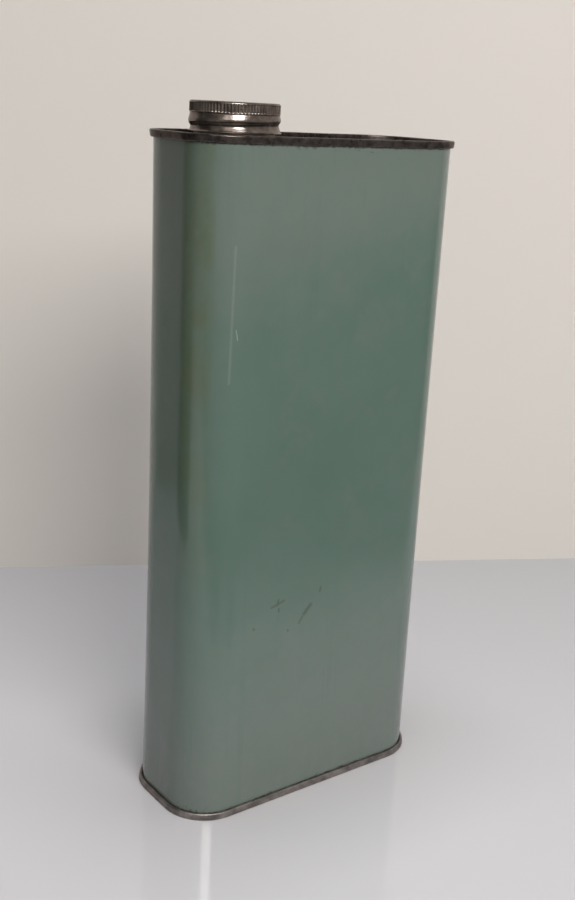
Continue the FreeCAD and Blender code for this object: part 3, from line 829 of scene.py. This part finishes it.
def upright(start, end, height):
    (x0, y0), (x1, y1) = start, end
    return [(x0, y0, 0), (x1, y1, 0), (x1, y1, height), (x0, y0, height)]


def build_stage():
    floor, look = stage_plane(
        "floor",
        [(-3000, -3000, 0), (3000, -3000, 0), (3000, 3000, 0), (-3000, 3000, 0)],
        (0.635, 0.62, 0.63),
        0.08,
    )
    across = look.math("MAXIMUM", look.math("SUBTRACT", look.math("ABSOLUTE", look.axis("X")), 47.0), 0.0)
    deep = look.math("MAXIMUM", look.math("SUBTRACT", look.math("ABSOLUTE", look.axis("Y")), 8.0), 0.0)
    off = look.math("SQRT", look.math("ADD", look.math("MULTIPLY", across, across), look.math("MULTIPLY", deep, deep)))
    clear_from_behind(look, look.math("LESS_THAN", off, 20.5))
    foot, along = Vector((-21.0, 297.0, 0.0)), Vector((375.0, -192.0, 0.0)).normalized()
    left, right = foot - along * 1380, foot + along * 1500
    up = Vector((0, 0, 1300))
    wall, look = stage_plane("wall", [left, right, right + up, left + up], (0.70, 0.655, 0.605), 0.7)
    look.set(Emission_Color=(1.0, 0.94, 0.89, 1), Emission_Strength=0.135)
    wall.visible_diffuse = False
    clear_from_behind(look)
    build_reflection_cards()


def build_reflection_cards():
    """What stands round the can out of view: a pale side panel, a darker one, and a dim table top."""
    far_end, middle, near_end = (-300, 420), (-313, 345), (-400, 60)
    reflection_card("side_panel", upright(far_end, middle, 600), (0.25, 0.205, 0.18))
    reflection_card("dark_panel", upright(middle, near_end, 600), (0.05, 0.05, 0.04))
    flag("far_flag", upright(far_end, middle, 600))
    flag("near_flag", upright(middle, near_end, 600))
    far = 2900
    look, shine = reflection_card(
        "dim_table", [(-far, -far, 1), (far, -far, 1), (far, -190, 1), (-far, -190, 1)], (0, 0, 0)
    )
    away = look.math("MULTIPLY", look.axis("Y"), -1.0)
    glow = look.mix(look.step(away, 700, 2600), (0.20, 0.20, 0.18), (0.42, 0.385, 0.34))
    see_through = look.nodes.new("ShaderNodeBsdfTransparent")
    chooser = look.nodes.new("ShaderNodeMixShader")
    look.links.new(glow, shine.inputs["Color"])
    cloud = look.math("MULTIPLY_ADD", look.noise(220, 2.0), 240.0, away)
    look.links.new(look.step(cloud, 270, 420), chooser.inputs[0])
    look.links.new(see_through.outputs[0], chooser.inputs[1])
    look.links.new(shine.outputs[0], chooser.inputs[2])
    look.links.new(chooser.outputs[0], look.nodes["Material Output"].inputs["Surface"])


def area_light(name, azimuth, elevation, distance, width, height, power, colour=(1, 1, 1)):
    """A soft box that faces the can. Its azimuth is counted from +X."""
    target = Vector((0, 0, 0.16))
    a, e = math.radians(azimuth), math.radians(elevation)
    direction = Vector((math.cos(a) * math.cos(e), math.sin(a) * math.cos(e), math.sin(e)))
    data = bpy.data.lights.new(name, "AREA")
    data.shape = "RECTANGLE"
    data.size, data.size_y = width, height
    data.energy, data.color = power, colour
    lamp = bpy.data.objects.new(name, data)
    lamp.location = target + direction * distance
    lamp.rotation_euler = direction.to_track_quat("Z", "Y").to_euler()
    bpy.context.scene.collection.objects.link(lamp)
    return lamp


def build_world():
    """A dim fill, a pale backdrop for the camera, and for the gloss a room that is brightest in front."""
    world = bpy.data.worlds.new("studio")
    world.use_nodes = True
    nodes, links = world.node_tree.nodes, world.node_tree.links
    background = nodes["Background"]
    place = nodes.new("ShaderNodeTexCoord").outputs["Generated"]
    front = nodes.new("ShaderNodeVectorMath")
    front.operation = "DOT_PRODUCT"
    links.new(place, front.inputs[0])
    bright = math.radians(305)
    front.inputs[1].default_value = (math.cos(bright), math.sin(bright), 0.0)
    share = nodes.new("ShaderNodeMapRange")
    share.interpolation_type = "SMOOTHSTEP"
    links.new(front.outputs["Value"], share.inputs["Value"])
    share.inputs["From Min"].default_value = -0.3
    share.inputs["From Max"].default_value = 0.9
    path = nodes.new("ShaderNodeLightPath")

    def blend(factor, first, second):
        node = nodes.new("ShaderNodeMix")
        node.data_type = "RGBA"
        links.new(factor, node.inputs["Factor"])
        for socket, value in ((node.inputs["A"], first), (node.inputs["B"], second)):
            if isinstance(value, bpy.types.NodeSocket):
                links.new(value, socket)
            else:
                socket.default_value = (*value, 1)
        return [o for o in node.outputs if o.type == "RGBA"][0]

    room = blend(share.outputs[0], (0.20, 0.185, 0.15), (0.40, 0.36, 0.32))
    seen = blend(path.outputs["Is Glossy Ray"], (0.045, 0.047, 0.050), room)
    seen = blend(path.outputs["Is Camera Ray"], seen, (0.55, 0.535, 0.52))
    links.new(seen, background.inputs["Color"])
    bpy.context.scene.world = world


def build_light():
    build_world()
    key = area_light("key", 258, 33, 1.4, 0.8, 0.55, 13.6, (1.0, 0.98, 0.955))
    overhead = area_light("overhead", 0, 90, 2.0, 0.8, 0.8, 27.0, (0.98, 0.98, 1.0))
    key.visible_glossy = overhead.visible_glossy = False
    lamp = area_light("lamp", 245, 34, 1.5, 0.55, 0.30, 17.0, (1.0, 0.97, 0.93))
    glow = area_light("lamp_glow", 234, 36, 1.6, 1.3, 0.9, 7.0, (1.0, 0.96, 0.90))
    lamp.visible_diffuse = glow.visible_diffuse = False
    spared = bpy.data.collections.new("spared")
    for name in ("floor", "wall"):
        spared.objects.link(bpy.data.objects[name])
    for entry in spared.collection_objects:
        entry.light_linking.link_state = "EXCLUDE"
    back = area_light("back_fill", 78, 25, 1.5, 0.9, 0.9, 6.0, (1.0, 0.98, 0.96))
    back.visible_glossy = back.visible_camera = False
    back.light_linking.blocker_collection = spared
    for light in (lamp, glow, back):
        light.light_linking.receiver_collection = spared
    under = area_light("under", 0, -90, 0.9, 0.5, 0.5, 3.0)
    under.visible_camera = False


def build_camera():
    azimuth, elevation, roll = math.radians(-37.34), math.radians(16.67), math.radians(3.0)
    back = Vector(
        (
            math.sin(azimuth) * math.cos(elevation),
            -math.cos(azimuth) * math.cos(elevation),
            math.sin(elevation),
        )
    )
    right = (-back).cross(Vector((0, 0, 1))).normalized()
    up = back.cross(right)
    tilted_right = math.cos(roll) * right + math.sin(roll) * up
    tilted_up = math.cos(roll) * up - math.sin(roll) * right
    data = bpy.data.cameras.new("camera")
    data.lens, data.sensor_width = 46.71, 36.0
    camera = bpy.data.objects.new("camera", data)
    turn = Matrix((tilted_right, tilted_up, back)).transposed()
    camera.matrix_world = Matrix.Translation(Vector((-0.3188, -0.4146, 0.3190))) @ turn.to_4x4()
    bpy.context.scene.collection.objects.link(camera)
    bpy.context.scene.camera = camera


# ---------------------------------------------------------------- the scene

build_body()
build_end("top_pressing", "top_end", True)
build_end("bottom_pressing", "bottom_end", False)
build_cap()
build_neck()
build_neck_solder()
build_wad()
build_facing()
build_compound("top_sealing_ring", "top_seam_compound", True)
build_compound("bottom_sealing_ring", "bottom_seam_compound", False)
seam_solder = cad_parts["side_seam_solder"].data
seam_solder.materials.clear()
seam_solder.materials.append(solder_look())

build_stage()
build_light()
build_camera()
bpy.context.scene.view_settings.view_transform = "Standard"
